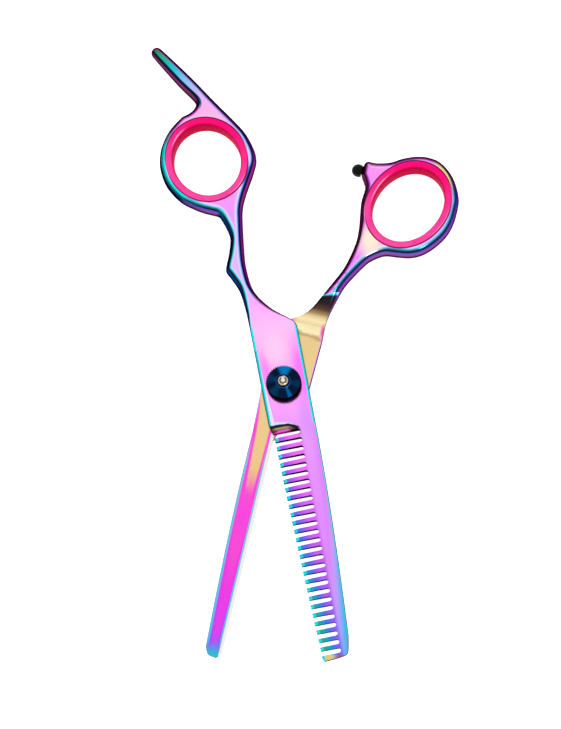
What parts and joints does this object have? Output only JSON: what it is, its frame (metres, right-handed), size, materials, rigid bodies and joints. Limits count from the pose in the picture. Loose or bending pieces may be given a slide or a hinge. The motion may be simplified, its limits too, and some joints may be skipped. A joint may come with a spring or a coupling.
{
  "type": "thinning shears",
  "caption": "Hair thinning shears with an offset handle, a finger rest tang, soft ring inserts, a toothed blade, a plain blade and a tension dial.",
  "frame": {"origin": "on the pivot axis, at the flat underside of the pivot bolt's head, which is level with the lower rims of both finger inserts", "axes": "+Z along the pivot axis towards the tension dial, +Y towards the finger rings, -Y towards the blade tips; stored open by 24.9 degrees"},
  "size_m": [0.083, 0.1666, 0.011],
  "materials": {
    "rainbow_coated_steel": "polished, iridescent titanium coating",
    "bare_steel": "polished",
    "spring_steel": "satin",
    "blued_steel": "turned, dark blue",
    "nylon": "matte",
    "pink_elastomer": "satin",
    "black_rubber": "matte"
  },
  "bodies": {
    "plain_side": {"plain_half": "rainbow_coated_steel", "finger_insert_right": "pink_elastomer", "bumper": "black_rubber", "pivot_bolt": "bare_steel", "spring_washer": "spring_steel", "click_plate": "spring_steel"},
    "comb_side": {"comb_half": "rainbow_coated_steel", "finger_insert_left": "pink_elastomer", "blade_washer": "nylon", "pivot_bush": "nylon"},
    "dial_side": {"tension_dial": "blued_steel"}
  },
  "joints": [
    {"name": "blade_pivot", "type": "hinge", "parent": "plain_side", "child": "comb_side", "pos_m": [0, 0, 0.00325], "axis": [0, 0, 1], "range_deg": [-23.4, 115]},
    {"name": "dial_turn", "type": "hinge", "parent": "plain_side", "child": "dial_side", "pos_m": [0, 0, 0.0079], "axis": [0, 0, 1], "range_deg": [-90, 90]}
  ]
}
